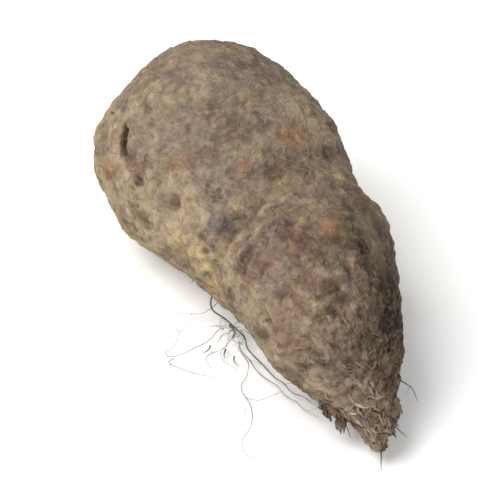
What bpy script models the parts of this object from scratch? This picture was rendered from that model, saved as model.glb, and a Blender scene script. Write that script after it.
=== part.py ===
"""Chinese potato: one small tuber lying on its side, with the rootlets it was lifted with.

The tuber is a swollen underground stem that grew as one piece, so it is one solid. It has a round
crown at -X, a second swelling that grew over the first from the middle on, and a root tip at +X.
The origin is the middle of the flat spot that it lies on, under its weight. Metres, +Z up.
"""
import math

import bmesh
import bpy
import numpy as np
from mathutils import Matrix, Vector, noise

MM = 0.001

# The form is a row of balls along a smooth curve, as x, y, z and radius in millimetres.
FIRST_SWELLING = (
    (-11.0, -1.6, 12.3, 12.7),
    (-3.0, -0.1, 11.4, 11.8),
    (4.0, 0.4, 9.3, 9.7),
    (11.0, 2.7, 7.6, 8.0),
    (18.0, 0.7, 5.7, 5.5),
    (25.0, 0.1, 5.0, 4.1),
    (31.0, -0.4, 2.7, 1.2),
    (32.6, -0.9, 2.4, 0.6),
)
SECOND_SWELLING = (
    (8.5, 1.6, 10.7, 9.0),
    (13.0, -0.2, 11.4, 9.2),
    (17.5, -0.5, 10.3, 8.3),
    (22.0, -0.2, 8.5, 6.4),
    (26.5, -0.5, 5.7, 3.9),
    (30.5, -0.6, 4.3, 2.0),
    (32.6, -1.2, 2.9, 0.6),
)
BALLS_ALONG = 80

# The line that the skin is drawn out from, and the reach of its round ends.
LINE_START = Vector((-8.0, -1.0, 11.5))
LINE_END = Vector((31.6, -0.8, 3.2))
CROWN_REACH = 13.0
TIP_REACH = 1.6
SKIN_RINGS = 74
SKIN_SIDES = 44

# How widely the two swellings flow into each other, then the crease and the raised rim where the
# second overlaps the first, in millimetres. All are sharp on the -Y side. Over the top they fade
# into a soft waist, which tightens again along the tuber.
JOIN_ROUND = 1.4
SOFT_JOIN_ROUND = 4.5
SHARP_BEFORE_Y = -2.0
SOFT_AFTER_Y = 3.0
SOFT_BEFORE_X = 5.0
TIGHT_AFTER_X = 14.0
SOFT_CREASE = 0.3
CREASE_DEPTH = 0.4
CREASE_WIDTH = 0.8
RIM_HEIGHT = 0.3
RIM_INSET = 1.3

# Low relief: broad lumps, small lumps and rings of growth, as size and height in millimetres.
LUMP_SIZE, LUMP_HEIGHT = 9.0, 0.6
KNOB_SIZE, KNOB_HEIGHT = 4.2, 0.32
RING_SPACING, RING_HEIGHT = 4.6, 0.08
SMOOTH_BELOW = 0.4
ROUGH_ABOVE = 3.0

# Shoulders and flats of the crown, buds and sunken eyes, as place, radius and height (below zero
# where the skin sinks in). The last is the scar where the tuber hung from its plant.
BUMPS = (
    ((-19.5, -8.8, 18.5), 5.0, -0.5),
    ((-15.7, -13.4, 11.7), 4.5, 0.45),
    ((-6.0, 8.3, 19.3), 4.5, 0.45),
    ((5.8, -8.3, 15.8), 1.8, 0.9),
    ((-5.5, -12.7, 15.7), 1.1, -0.5),
    ((-4.3, -12.5, 10.9), 1.2, -0.5),
    ((-14.0, 8.0, 18.5), 1.6, 0.7),
    ((2.0, 10.0, 9.0), 1.7, 0.8),
    ((16.0, 8.0, 11.0), 1.4, -0.5),
    ((-20.5, 4.0, 10.0), 1.5, -0.5),
    ((-23.4, -2.6, 14.5), 1.9, -0.7),
)

# The long narrow eye near the crown: its two ends on the skin, the skin's outward direction there,
# its half width and its depth.
SLIT_ENDS = (Vector((-11.2, -12.0, 20.0)), Vector((-8.0, -13.4, 16.8)))
SLIT_OUTWARD = Vector((0.0, -0.87, 0.48))
SLIT_HALF_WIDTH = 0.5
SLIT_DEPTH = 1.0

# Rootlets, as the points that each follows, in millimetres. They start inside what they grow from
# and lie out on the ground beside the waist.
ROOTLET_RADIUS = 0.36
ROOTLETS = {
    "runner": ((0.8, -5.0, 4.6), (2.7, -8.0, 3.0), (4.8, -7.7, 2.2), (7.0, -6.6, 1.5), (9.0, -6.2, 1.2),
               (11.5, -6.5, 1.0), (13.4, -6.1, 0.9), (16.7, -5.5, 0.9), (19.6, -4.7, 1.0), (23.0, -3.4, 1.0)),
    "loop": ((6.8, -6.4, 1.5), (5.9, -7.8, 1.2), (6.5, -9.6, 0.9), (6.9, -11.3, 0.7), (7.6, -13.2, 0.6),
             (7.4, -14.6, 0.5), (6.4, -14.7, 0.5), (5.9, -14.0, 0.5), (4.8, -12.7, 0.5), (3.8, -11.6, 0.6),
             (3.6, -10.2, 0.8)),
    "side": ((2.4, -5.6, 3.2), (2.7, -8.0, 1.5), (1.6, -9.8, 0.8), (0.2, -10.9, 0.6)),
    "fork": ((7.0, -6.5, 1.4), (7.9, -7.6, 1.0), (8.5, -8.8, 0.7), (9.9, -9.2, 0.6), (12.0, -8.9, 0.5)),
    "spur": ((8.4, -8.5, 0.7), (8.7, -9.8, 0.6), (9.3, -10.9, 0.5), (11.1, -11.6, 0.5)),
    "trail": ((7.5, -14.3, 0.5), (8.2, -15.2, 0.5), (9.7, -14.0, 0.5), (11.2, -13.1, 0.5), (12.4, -12.0, 0.5),
              (14.3, -11.3, 0.5)),
    "cross": ((8.4, -6.2, 1.2), (9.6, -7.1, 0.8), (12.7, -7.8, 0.6), (13.9, -8.2, 0.5), (15.5, -9.6, 0.5),
              (16.7, -9.9, 0.5), (17.6, -8.8, 0.5), (18.3, -7.3, 0.7), (18.4, -5.9, 0.9)),
    "drooping": ((16.4, -9.8, 0.5), (17.9, -10.0, 0.5), (19.5, -10.6, 0.5), (21.2, -11.2, 0.5),
                 (22.3, -12.3, 0.5), (23.6, -13.4, 0.5), (25.4, -13.5, 0.5), (26.9, -12.8, 0.5)),
    "tip_fibre": ((31.2, -0.7, 2.8), (32.9, -0.9, 1.6), (34.4, -1.7, 0.8)),
    "tip_left": ((24.5, -0.8, 2.6), (26.2, -2.2, 1.4), (28.0, -2.4, 0.7)),
    "tip_right": ((27.8, 0.8, 3.4), (29.0, 2.4, 1.8), (30.4, 3.2, 0.9)),
    "far_side": ((9.0, 6.0, 3.6), (9.8, 9.4, 1.8), (11.6, 11.0, 0.9), (13.8, 11.4, 0.6)),
    "far_tip": ((20.0, 3.6, 3.4), (21.2, 6.0, 1.6), (23.4, 7.4, 0.8), (25.4, 7.2, 0.6)),
}
POINTS_PER_ROOTLET_STEP = 2

# Ragged scales round the root tip, as root, tip and base radius in millimetres.
TIP_SCALES = (
    ((22.5, -1.2, 3.2), (26.0, -3.1, 1.9), 1.0),
    ((25.0, -1.0, 3.0), (28.3, -2.6, 1.6), 0.9),
    ((28.0, -1.2, 3.2), (30.8, -2.1, 1.5), 0.8),
    ((27.0, 0.6, 4.2), (30.6, 1.3, 4.4), 0.9),
    ((28.0, 0.6, 2.8), (31.2, 1.3, 1.5), 0.8),
)
SCALE_SIDES = 5
SCALE_END_RADIUS = 0.32


def clear_scene():
    for obj in list(bpy.data.objects):
        bpy.data.objects.remove(obj, do_unlink=True)


def new_collection(name):
    collection = bpy.data.collections.new(name)
    bpy.context.scene.collection.children.link(collection)
    return collection


def new_object(name, mesh, collection):
    obj = bpy.data.objects.new(name, mesh)
    collection.objects.link(obj)
    return obj


def smooth_through(stations, count):
    """Values at even steps along a Catmull-Rom curve through the stations."""
    stations = np.array(stations)
    before = 2 * stations[0] - stations[1]
    after = 2 * stations[-1] - stations[-2]
    padded = np.vstack((before, stations, after))
    along = np.linspace(0, len(stations) - 1, count)
    first = np.minimum(along.astype(int), len(stations) - 2)
    t = (along - first)[:, None]
    p0, p1, p2, p3 = (padded[first + step] for step in range(4))
    return 0.5 * (2 * p1 + (p2 - p0) * t + (2 * p0 - 5 * p1 + 4 * p2 - p3) * t**2
                  + (3 * p1 - p0 - 3 * p2 + p3) * t**3)


def reach(starts, directions, balls):
    """How far each ray goes before it leaves the last of the balls."""
    to_balls = balls[None, :, :3] - starts[:, None, :]
    along = np.einsum("rbk,rk->rb", to_balls, directions)
    inside = balls[None, :, 3]**2 - (to_balls**2).sum(axis=2) + along**2
    exits = np.where(inside > 0, along + np.sqrt(np.maximum(inside, 0)), 0)
    return exits.max(axis=1)


def rays_from_line(unit_points):
    """Turns the points of a unit sphere with its poles on X into rays off the tuber's middle line."""
    axis = (LINE_END - LINE_START).normalized()
    side = Vector((0, 0, 1)).cross(axis).normalized()
    up = axis.cross(side)
    crown_arc = CROWN_REACH * math.pi / 2
    tip_arc = TIP_REACH * math.pi / 2
    length = (LINE_END - LINE_START).length
    starts, directions = [], []
    for x, y, z in unit_points:
        travelled = math.acos(max(-1.0, min(1.0, -x))) / math.pi * (crown_arc + length + tip_arc)
        if travelled < crown_arc:
            start, turn = LINE_START, travelled / CROWN_REACH
        elif travelled < crown_arc + length:
            start, turn = LINE_START + axis * (travelled - crown_arc), math.pi / 2
        else:
            start, turn = LINE_END, math.pi / 2 + (travelled - crown_arc - length) / TIP_REACH
        around = math.atan2(y, z)
        outward = up * math.cos(around) + side * math.sin(around)
        starts.append(start)
        directions.append(outward * math.sin(turn) - axis * math.cos(turn))
    return np.array(starts), np.array(directions)


def smoothstep(low, high, value):
    t = np.clip((value - low) / (high - low), 0, 1)
    return t * t * (3 - 2 * t)


def softness(points):
    """0 where the crease is sharp and 1 where it is only a soft waist."""
    return smoothstep(SHARP_BEFORE_Y, SOFT_AFTER_Y, points[:, 1])


def join_round(points):
    """How widely the two swellings flow into each other: most at the waist's soft side."""
    share = softness(points) * (1 - smoothstep(SOFT_BEFORE_X, TIGHT_AFTER_X, points[:, 0]))
    return JOIN_ROUND + (SOFT_JOIN_ROUND - JOIN_ROUND) * share


def swept_form(starts, directions):
    """How far each ray goes to the plain form, and how much further the first swelling reaches."""
    first = reach(starts, directions, smooth_through(FIRST_SWELLING, BALLS_ALONG))
    second = reach(starts, directions, smooth_through(SECOND_SWELLING, BALLS_ALONG))
    furthest = np.maximum(first, second)
    join = join_round(starts + directions * furthest[:, None])
    blend = np.maximum(join - np.abs(first - second), 0) / join
    return furthest + blend**2 * join / 4, first - second


def skin_relief(points, overlap):
    """Height of the skin's relief over the plain swept form, in millimetres."""
    height = np.empty(len(points))
    for index, (x, y, z) in enumerate(points):
        place = Vector((x, y, z))
        lumps = LUMP_HEIGHT * noise.noise(place / LUMP_SIZE)
        knobs = KNOB_HEIGHT * noise.noise(place / KNOB_SIZE + Vector((7, 3, 5)))
        drift = noise.noise(place / LUMP_SIZE + Vector((2, 9, 4)))
        rings = RING_HEIGHT * math.sin(2 * math.pi * (x / RING_SPACING + drift))
        height[index] = lumps + knobs + rings
    crease = RIM_HEIGHT * np.exp(-((overlap + RIM_INSET) / CREASE_WIDTH)**2)
    crease -= CREASE_DEPTH * np.exp(-(overlap / CREASE_WIDTH)**2)
    height += crease * (1 - (1 - SOFT_CREASE) * softness(points))
    height *= smoothstep(SMOOTH_BELOW, ROUGH_ABOVE, points[:, 2])
    for place, radius, rise in BUMPS:
        away = np.linalg.norm(points - np.array(place), axis=1)
        height += rise * np.exp(-(away / radius)**2)
    return height


def make_skin(collection):
    """The whole skin: a sphere whose points go out to the swept form, cut flat where it rests."""
    mesh = bpy.data.meshes.new("tuber")
    bm = bmesh.new()
    turn_to_x = Matrix.Rotation(math.radians(90), 4, "Y")
    bmesh.ops.create_uvsphere(bm, u_segments=SKIN_SIDES, v_segments=SKIN_RINGS, radius=1.0, matrix=turn_to_x)
    starts, directions = rays_from_line([v.co for v in bm.verts])
    out, overlap = swept_form(starts, directions)
    out += skin_relief(starts + directions * out[:, None], overlap)
    points = starts + directions * out[:, None]
    points[:, 2] = np.maximum(points[:, 2], 0)
    for vertex, point in zip(bm.verts, points):
        vertex.co = Vector(point) * MM
    bmesh.ops.recalc_face_normals(bm, faces=bm.faces)
    bmesh.ops.triangulate(bm, faces=bm.faces)
    bm.to_mesh(mesh)
    bm.free()
    return new_object("tuber", mesh, collection)


def make_rootlet(name, points, collection):
    """A round thread along a smooth curve through its points, made a closed mesh."""
    curve = bpy.data.curves.new(name, "CURVE")
    curve.dimensions = "3D"
    curve.bevel_depth = ROOTLET_RADIUS * MM
    curve.bevel_resolution = 1
    curve.use_fill_caps = True
    smooth = smooth_through(points, POINTS_PER_ROOTLET_STEP * (len(points) - 1) + 1)
    spline = curve.splines.new("POLY")
    spline.points.add(len(smooth) - 1)
    for spline_point, place in zip(spline.points, smooth):
        spline_point.co = (*(Vector(place) * MM), 1)
    curve_object = new_object(name, curve, collection)
    mesh = bpy.data.meshes.new_from_object(curve_object.evaluated_get(bpy.context.evaluated_depsgraph_get()))
    bpy.data.objects.remove(curve_object)
    bm = bmesh.new()
    bm.from_mesh(mesh)
    bmesh.ops.remove_doubles(bm, verts=bm.verts, dist=0.00002)
    bmesh.ops.recalc_face_normals(bm, faces=bm.faces)
    bm.to_mesh(mesh)
    bm.free()
    return new_object(name, mesh, collection)


def make_tip_scale(index, base, tip, radius, collection):
    """A tapered scale that sticks out of the root tip."""
    base, tip = Vector(base), Vector(tip)
    along = tip - base
    turn = along.to_track_quat("Z", "Y").to_matrix().to_4x4()
    place = Matrix.Translation((base + tip) / 2 * MM) @ turn
    mesh = bpy.data.meshes.new(f"scale_{index}")
    bm = bmesh.new()
    bmesh.ops.create_cone(bm, cap_ends=True, segments=SCALE_SIDES, radius1=radius * MM,
                          radius2=SCALE_END_RADIUS * MM, depth=along.length * MM, matrix=place)
    bm.to_mesh(mesh)
    bm.free()
    return new_object(f"scale_{index}", mesh, collection)


def make_slit_cutter(collection):
    """A thin lens that cuts the long eye into the skin."""
    along = SLIT_ENDS[1] - SLIT_ENDS[0]
    across = SLIT_OUTWARD.cross(along).normalized()
    outward = along.cross(across).normalized()
    half_sizes = (across * SLIT_HALF_WIDTH, outward * SLIT_DEPTH, along / 2)
    place = Matrix(half_sizes).transposed().to_4x4()
    place.translation = (SLIT_ENDS[0] + SLIT_ENDS[1]) / 2
    mesh = bpy.data.meshes.new("slit_cutter")
    bm = bmesh.new()
    bmesh.ops.create_uvsphere(bm, u_segments=10, v_segments=8, radius=1.0, matrix=Matrix.Scale(MM, 4) @ place)
    bm.to_mesh(mesh)
    bm.free()
    cutter = new_object("slit_cutter", mesh, collection)
    cutter.hide_render = True
    cutter.display_type = "WIRE"
    return cutter


def apply_modifiers(obj):
    obj.data = bpy.data.meshes.new_from_object(obj.evaluated_get(bpy.context.evaluated_depsgraph_get()))
    obj.data.name = obj.name
    obj.modifiers.clear()


def skin_material():
    """Earthy brown skin, dull and dry."""
    material = bpy.data.materials.new("tuber skin")
    material.use_nodes = True
    shader = material.node_tree.nodes["Principled BSDF"]
    shader.inputs["Base Color"].default_value = (0.24, 0.17, 0.11, 1)
    shader.inputs["Roughness"].default_value = 0.85
    shader.inputs["Metallic"].default_value = 0.0
    material.diffuse_color = (0.24, 0.17, 0.11, 1)
    return material


def build():
    clear_scene()
    model = new_collection("chinese_potato")
    growths = new_collection("growths")
    cutters = new_collection("cutters")
    tuber = make_skin(model)

    for name, points in ROOTLETS.items():
        make_rootlet(name, points, growths)
    for index, (base, tip, radius) in enumerate(TIP_SCALES):
        make_tip_scale(index, base, tip, radius, growths)
    grow = tuber.modifiers.new("grow", "BOOLEAN")
    grow.operation = "UNION"
    grow.operand_type = "COLLECTION"
    grow.collection = growths
    apply_modifiers(tuber)

    cutter = make_slit_cutter(cutters)
    cut = tuber.modifiers.new("slit", "BOOLEAN")
    cut.operation = "DIFFERENCE"
    cut.object = cutter
    apply_modifiers(tuber)

    for spent in (growths, cutters):
        for obj in list(spent.objects):
            bpy.data.objects.remove(obj)
        bpy.data.collections.remove(spent)
    tuber.data.materials.clear()
    tuber.data.materials.append(skin_material())
    tuber.data.shade_smooth()


build()
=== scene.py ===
import math
import random

import bmesh
import bpy
import numpy as np
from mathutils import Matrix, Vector, noise
from mathutils.bvhtree import BVHTree


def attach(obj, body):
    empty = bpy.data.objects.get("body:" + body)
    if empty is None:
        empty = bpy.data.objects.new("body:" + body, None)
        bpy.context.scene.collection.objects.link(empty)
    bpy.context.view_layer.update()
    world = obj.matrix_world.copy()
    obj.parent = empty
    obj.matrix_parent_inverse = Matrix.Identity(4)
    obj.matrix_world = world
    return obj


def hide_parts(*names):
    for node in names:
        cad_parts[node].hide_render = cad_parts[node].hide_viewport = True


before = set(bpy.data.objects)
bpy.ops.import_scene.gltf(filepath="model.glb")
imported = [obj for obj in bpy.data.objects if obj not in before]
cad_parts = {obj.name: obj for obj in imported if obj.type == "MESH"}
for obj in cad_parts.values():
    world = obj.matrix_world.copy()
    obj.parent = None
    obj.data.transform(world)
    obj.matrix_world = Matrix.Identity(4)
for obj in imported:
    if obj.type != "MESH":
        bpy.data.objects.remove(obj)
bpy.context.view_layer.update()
MM = 0.001

# The camera looks down over the root tip, at the photograph's angle, with the tuber filling the frame.
# The photograph gives a direction for any of its pixels, at MM_PER_PIXEL in the plane of the crown.
CROWN_CENTRE = Vector((-0.008, -0.0015, 0.0123))
CROWN_PIXEL = (99.5, 244.5)
FRAME_CENTRE_PIXEL = (113.0, 284.0)
MM_PER_PIXEL = 0.237
FRAME_PIXELS = 240
CAMERA_AZIMUTH = math.radians(66)
CAMERA_ELEVATION = math.radians(38)
CAMERA_DISTANCE = 0.48
SENSOR_WIDTH = 36
NEAREST_SEEN = 0.01

to_right = Vector((math.cos(CAMERA_AZIMUTH), math.sin(CAMERA_AZIMUTH), 0))
to_camera = Vector((math.sin(CAMERA_AZIMUTH) * math.cos(CAMERA_ELEVATION),
                    -math.cos(CAMERA_AZIMUTH) * math.cos(CAMERA_ELEVATION), math.sin(CAMERA_ELEVATION)))
to_top = to_camera.cross(to_right)


def seen_at(pixel):
    """The point of the crown's plane that the photograph shows at a pixel."""
    right = (pixel[0] - CROWN_PIXEL[0]) * MM_PER_PIXEL * MM
    down = (pixel[1] - CROWN_PIXEL[1]) * MM_PER_PIXEL * MM
    return CROWN_CENTRE + to_right * right - to_top * down


def add_object(name, data):
    """A new object at the origin, unturned and unscaled."""
    made = bpy.data.objects.new(name, data)
    bpy.context.scene.collection.objects.link(made)
    return made


camera_data = bpy.data.cameras.new("camera")
camera_data.sensor_width = SENSOR_WIDTH
camera_data.lens = SENSOR_WIDTH * CAMERA_DISTANCE / (FRAME_PIXELS * MM_PER_PIXEL * MM)
camera_data.clip_start = NEAREST_SEEN
camera = add_object("camera", camera_data)
camera.location = CROWN_CENTRE + to_camera * CAMERA_DISTANCE
camera.rotation_euler = (seen_at(FRAME_CENTRE_PIXEL) - camera.location).to_track_quat("-Z", "Y").to_euler()
bpy.context.scene.camera = camera

# The studio: a plain floor of matt white paper that glows a little, so that it shows as white as the
# photograph's, one broad soft lamp at the picture's upper left, and a pale sky that fills the shadows.
FLOOR_SIZE = 1.6
PAPER_GLOW = 0.19
LAMP_PLACE = to_right * -0.27 + to_top * 0.34 + to_camera * 0.42
LAMP_SIZE = 0.40
LAMP_POWER = 3.6
SKY_STRENGTH = 0.43


def linear(hex_colour):
    """A colour written as sRGB hex, as the linear values that a shader takes."""
    parts = [int(hex_colour[place:place + 2], 16) / 255 for place in (1, 3, 5)]
    return tuple(p / 12.92 if p <= 0.04045 else ((p + 0.055) / 1.055) ** 2.4 for p in parts) + (1.0,)


def fill_inputs(node, inputs):
    """Fills a node's inputs with values or links. A node stands for its first output in use."""
    for key, value in inputs.items():
        if isinstance(value, bpy.types.Node):
            value = next(socket for socket in value.outputs if socket.enabled)
        if isinstance(value, bpy.types.NodeSocket):
            node.id_data.links.new(value, node.inputs[key])
        else:
            node.inputs[key].default_value = value


def new_material(name):
    """A material, with the tree that its nodes go in and its shader."""
    material = bpy.data.materials.new(name)
    material.use_nodes = True
    return material, material.node_tree, material.node_tree.nodes["Principled BSDF"]


floor_bm = bmesh.new()
bmesh.ops.create_grid(floor_bm, x_segments=1, y_segments=1, size=FLOOR_SIZE / 2)
floor_mesh = bpy.data.meshes.new("floor")
floor_bm.to_mesh(floor_mesh)
floor_bm.free()
paper, _, paper_shader = new_material("matt white paper")
fill_inputs(paper_shader, {"Base Color": linear("#f4f3f1"), "Roughness": 0.9,
                           "Emission Color": (1, 1, 1, 1), "Emission Strength": PAPER_GLOW})
floor_mesh.materials.append(paper)
floor = add_object("floor", floor_mesh)

lamp_data = bpy.data.lights.new("key lamp", "AREA")
lamp_data.shape = "SQUARE"
lamp_data.size = LAMP_SIZE
lamp_data.energy = LAMP_POWER
lamp = add_object("key lamp", lamp_data)
lamp.location = LAMP_PLACE
lamp.rotation_euler = (-LAMP_PLACE).to_track_quat("-Z", "Y").to_euler()
sky = bpy.data.worlds.new("pale sky")
sky.use_nodes = True
fill_inputs(sky.node_tree.nodes["Background"], {"Color": (1, 1, 1, 1), "Strength": SKY_STRENGTH})
bpy.context.scene.world = sky
bpy.context.scene.view_settings.view_transform = "Standard"

# The tuber's skin: one closed sheet of thin corky peel over two swellings, drawn in as it dried.
# It grew as one piece. Its broad form is the solid's own, drawn with many more points. Each swelling
# is a row of balls, as centre and radius, and every size here is in millimetres.
FIRST_SWELLING = (
    (-11.0, -1.6, 12.3, 12.7),
    (-3.0, -0.1, 11.4, 11.8),
    (4.0, 0.4, 9.3, 9.7),
    (11.0, 2.7, 7.6, 8.0),
    (18.0, 0.7, 5.7, 5.5),
    (25.0, 0.1, 5.0, 4.1),
    (31.0, -0.4, 2.7, 1.2),
    (32.0, -0.9, 2.5, 0.6),
)
SECOND_SWELLING = (
    (8.5, 1.6, 10.7, 9.0),
    (13.0, -0.2, 11.4, 9.2),
    (17.5, -0.5, 10.3, 8.3),
    (22.0, -0.2, 8.5, 6.4),
    (26.5, -0.5, 5.7, 3.9),
    (30.5, -0.6, 4.3, 2.0),
    (32.0, -1.2, 3.0, 0.6),
)
BALLS_ALONG = 80
LINE_START = np.array((-8.0, -1.0, 11.5))
LINE_END = np.array((31.6, -0.8, 3.2))
CROWN_REACH = 13.0
TIP_REACH = 1.6
SKIN_RINGS = 300
SKIN_SIDES = 320
JOIN_ROUND, SOFT_JOIN_ROUND = 1.4, 4.5
SHARP_BEFORE_Y, SOFT_AFTER_Y = -2.0, 3.0
SOFT_BEFORE_X, TIGHT_AFTER_X = 5.0, 14.0
SOFT_CREASE = 0.3
CREASE_DEPTH, CREASE_WIDTH = 0.4, 0.8
RIM_HEIGHT, RIM_INSET = 0.3, 1.3
LUMP_SIZE, LUMP_HEIGHT = 9.0, 0.6
KNOB_SIZE, KNOB_HEIGHT = 4.2, 0.32
RING_SPACING, RING_HEIGHT = 4.6, 0.08
SMOOTH_BELOW, ROUGH_ABOVE = 0.4, 3.0
RAGGED_SIZE, RAGGED_BY = 1.6, 0.6

# Buds that stand out and eyes that sink in, as centre, radius and rise.
BUMPS = (
    ((-19.5, -8.8, 18.5), 5.0, -0.5),
    ((-15.7, -13.4, 11.7), 4.5, 0.45),
    ((-6.0, 8.3, 19.3), 4.5, 0.45),
    ((5.8, -8.3, 15.8), 1.8, 0.9),
    ((-5.5, -12.7, 15.7), 1.1, -0.3),
    ((-4.3, -12.5, 10.9), 1.2, -0.3),
    ((-14.0, 8.0, 18.5), 1.6, 0.7),
    ((2.0, 10.0, 9.0), 1.7, 0.8),
    ((16.0, 8.0, 11.0), 1.4, -0.5),
    ((-20.5, 4.0, 10.0), 1.5, -0.5),
    ((-23.4, -2.6, 14.5), 1.9, -0.7),
    ((28.5, -2.9, 2.7), 1.8, -1.6),
    ((29.7, -2.8, 3.9), 1.5, -1.1),
)

# The long eye near the crown is a slit, which closes towards its ends from a share of its half length.
SLIT_ENDS = np.array(((-11.6, -11.8, 20.4), (-8.3, -13.2, 17.1)))
SLIT_HALF_WIDTH, SLIT_DEPTH = 0.46, 1.5
SLIT_RIM_SIZE, SLIT_RIM_RAGGED = 0.8, 0.45
SLIT_OPEN_TO, SLIT_CLOSED_FROM = 0.4, 1.0

# No hollow takes more than this share of the way from the middle line to the skin.
DEEPEST_SHARE = 0.7

# The bud by the crease is a low dome with a second lobe at its foot, as centre, radius, rise, tint and
# the tint's strength. A furrow runs round its +X side, with its depth and width in millimetres. The
# numbers below those are shares of a lobe's radius.
BUD_LOBES = (
    ((6.0, -7.9, 16.4), 1.7, 0.85, "#827371", 0.95),
    ((6.4, -9.0, 14.0), 1.3, 0.55, "#a08a7c", 0.7),
)
BUD_FURROW, BUD_FURROW_WIDTH = 0.3, 0.28
BUD_TOP, BUD_FOOT, BUD_FURROW_AT = 0.2, 1.1, 1.25
FURROW_FROM_X, FURROW_FULL_X = -0.2, 0.5


def smooth_through(stations, count):
    """Values at even steps along a Catmull-Rom curve through the stations."""
    stations = np.array(stations)
    before = 2 * stations[0] - stations[1]
    after = 2 * stations[-1] - stations[-2]
    padded = np.vstack((before, stations, after))
    along = np.linspace(0, len(stations) - 1, count)
    first = np.minimum(along.astype(int), len(stations) - 2)
    t = (along - first)[:, None]
    p0, p1, p2, p3 = (padded[first + step] for step in range(4))
    return 0.5 * (2 * p1 + (p2 - p0) * t + (2 * p0 - 5 * p1 + 4 * p2 - p3) * t**2
                  + (3 * p1 - p0 - 3 * p2 + p3) * t**3)


def rays_from_line(unit_points):
    """Turns the points of a unit sphere with its poles on Z into rays off the tuber's middle line."""
    line = LINE_END - LINE_START
    length = np.linalg.norm(line)
    axis = line / length
    side = np.cross((0, 0, 1), axis)
    side /= np.linalg.norm(side)
    up = np.cross(axis, side)
    crown_arc = CROWN_REACH * math.pi / 2
    tip_arc = TIP_REACH * math.pi / 2
    travelled = np.arccos(np.clip(-unit_points[:, 2], -1, 1)) / math.pi * (crown_arc + length + tip_arc)
    along = np.clip(travelled - crown_arc, 0, length)
    turn = np.minimum(travelled / CROWN_REACH, math.pi / 2)
    turn += np.maximum(travelled - crown_arc - length, 0) / TIP_REACH
    around = np.arctan2(unit_points[:, 1], unit_points[:, 0])
    outward = np.cos(around)[:, None] * up + np.sin(around)[:, None] * side
    starts = LINE_START + along[:, None] * axis
    return starts, outward * np.sin(turn)[:, None] - axis * np.cos(turn)[:, None]


def reach(starts, directions, balls):
    """How far each ray goes before it leaves the last of the balls."""
    furthest = np.zeros(len(starts))
    for ball in balls:
        to_ball = ball[:3] - starts
        along = (to_ball * directions).sum(axis=1)
        inside = ball[3]**2 - (to_ball**2).sum(axis=1) + along**2
        exits = np.where(inside > 0, along + np.sqrt(np.maximum(inside, 0)), 0)
        furthest = np.maximum(furthest, exits)
    return furthest


def smoothstep(low, high, value):
    """0 at the low value and 1 at the high one, with a smooth rise between them."""
    t = np.clip((value - low) / (high - low), 0, 1)
    return t * t * (3 - 2 * t)


def noise_at(points, size, seed):
    """Smooth noise, about -1 to 1, with lumps of a size in millimetres."""
    return np.array([noise.noise(Vector(place)) for place in points / size + np.array(seed)])


def softness(points):
    """0 where the crease between the swellings is sharp and 1 where it is only a soft waist."""
    return smoothstep(SHARP_BEFORE_Y, SOFT_AFTER_Y, points[:, 1])


def join_round(points):
    """How widely the two swellings flow into each other: most at the waist's soft side."""
    share = softness(points) * (1 - smoothstep(SOFT_BEFORE_X, TIGHT_AFTER_X, points[:, 0]))
    return JOIN_ROUND + (SOFT_JOIN_ROUND - JOIN_ROUND) * share


def swept_form(starts, directions):
    """How far each ray goes to the plain form, and how much further the first swelling reaches."""
    first = reach(starts, directions, smooth_through(FIRST_SWELLING, BALLS_ALONG))
    second = reach(starts, directions, smooth_through(SECOND_SWELLING, BALLS_ALONG))
    furthest = np.maximum(first, second)
    join = join_round(starts + directions * furthest[:, None])
    blend = np.maximum(join - np.abs(first - second), 0) / join
    return furthest + blend**2 * join / 4, first - second


def broad_relief(points, overlap):
    """The relief that the solid has too: lumps, rings of growth, the crease and the buds."""
    height = LUMP_HEIGHT * noise_at(points, LUMP_SIZE, (0, 0, 0))
    height += KNOB_HEIGHT * noise_at(points, KNOB_SIZE, (7, 3, 5))
    drift = noise_at(points, LUMP_SIZE, (2, 9, 4))
    height += RING_HEIGHT * np.sin(2 * math.pi * (points[:, 0] / RING_SPACING + drift))
    crease = RIM_HEIGHT * np.exp(-((overlap + RIM_INSET) / CREASE_WIDTH)**2)
    crease -= CREASE_DEPTH * np.exp(-(overlap / CREASE_WIDTH)**2)
    height += crease * (1 - (1 - SOFT_CREASE) * softness(points))
    height *= smoothstep(SMOOTH_BELOW, ROUGH_ABOVE, points[:, 2])
    ragged = RAGGED_BY * noise_at(points, RAGGED_SIZE, (5, 1, 8))
    for place, radius, rise in BUMPS:
        away = np.linalg.norm(points - np.array(place), axis=1) + ragged
        height += rise * np.exp(-(away / radius)**2)
    return height


def bud_relief(points):
    """The height of the bud's steep-sided lobes, and the depth of the furrow beside them."""
    height, furrow = np.zeros(len(points)), np.zeros(len(points))
    for centre, radius, rise, _, _ in BUD_LOBES:
        from_centre = points - np.array(centre)
        away = np.linalg.norm(from_centre, axis=1)
        height = np.maximum(height, rise * smoothstep(BUD_FOOT, BUD_TOP, away / radius))
        outside = np.exp(-((away - BUD_FURROW_AT * radius) / BUD_FURROW_WIDTH)**2)
        facing_x = smoothstep(FURROW_FROM_X, FURROW_FULL_X, from_centre[:, 0] / radius)
        furrow = np.maximum(furrow, BUD_FURROW * outside * facing_x)
    return height, furrow


def slit_share(points):
    """1 in the middle of the long eye near the crown, falling to 0 outside it."""
    start, end = SLIT_ENDS
    middle, half = (start + end) / 2, (end - start) / 2
    half_length = np.linalg.norm(half)
    along = (points - middle) @ (half / half_length)
    across = np.linalg.norm((points - middle) - along[:, None] * (half / half_length), axis=1)
    ragged = SLIT_RIM_RAGGED * noise_at(points, SLIT_RIM_SIZE, (6, 2, 1))
    ends = smoothstep(SLIT_CLOSED_FROM, SLIT_OPEN_TO, np.abs(along) / half_length + ragged)
    return np.exp(-(across / SLIT_HALF_WIDTH * (1 + ragged))**2) * ends


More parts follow.
